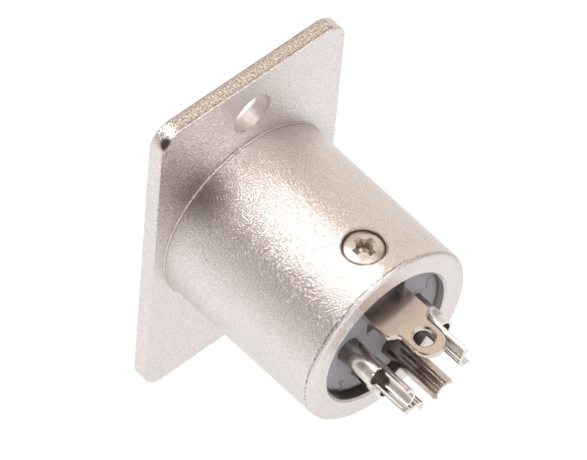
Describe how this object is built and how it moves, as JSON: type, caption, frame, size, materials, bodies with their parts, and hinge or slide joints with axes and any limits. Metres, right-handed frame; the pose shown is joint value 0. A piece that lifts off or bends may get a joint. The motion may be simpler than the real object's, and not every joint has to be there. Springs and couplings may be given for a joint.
{
  "type": "panel mount xlr connector",
  "caption": "Round male connector for a panel: a rectangular flange, a barrel open at both ends, pins in front, solder cups and a ground tab behind.",
  "frame": {"origin": "centre of the flange's front face, on the barrel's axis", "axes": "+Z along the barrel's axis to the solder side, +Y to the retaining screw and the ground tab, along the flange's long side"},
  "size_m": [0.0224, 0.0372, 0.0277],
  "materials": {
    "satin_nickel": "zinc casting, satin nickel plate with a fine blasted grain",
    "grey_plastic": "moulded grey insulator, matt",
    "tab_plating": "punched brass strip, dull nickel plate",
    "bright_nickel": "nickel plated steel, bright",
    "contact_plating": "turned brass, silver plated, a little tarnished"
  },
  "bodies": {
    "root": {"shell": "satin_nickel", "insert": "grey_plastic", "ground_tab": "tab_plating", "retaining_screw": "bright_nickel", "contact_1": "contact_plating", "contact_2": "contact_plating", "contact_3": "contact_plating", "contact_4": "contact_plating"}
  },
  "joints": []
}
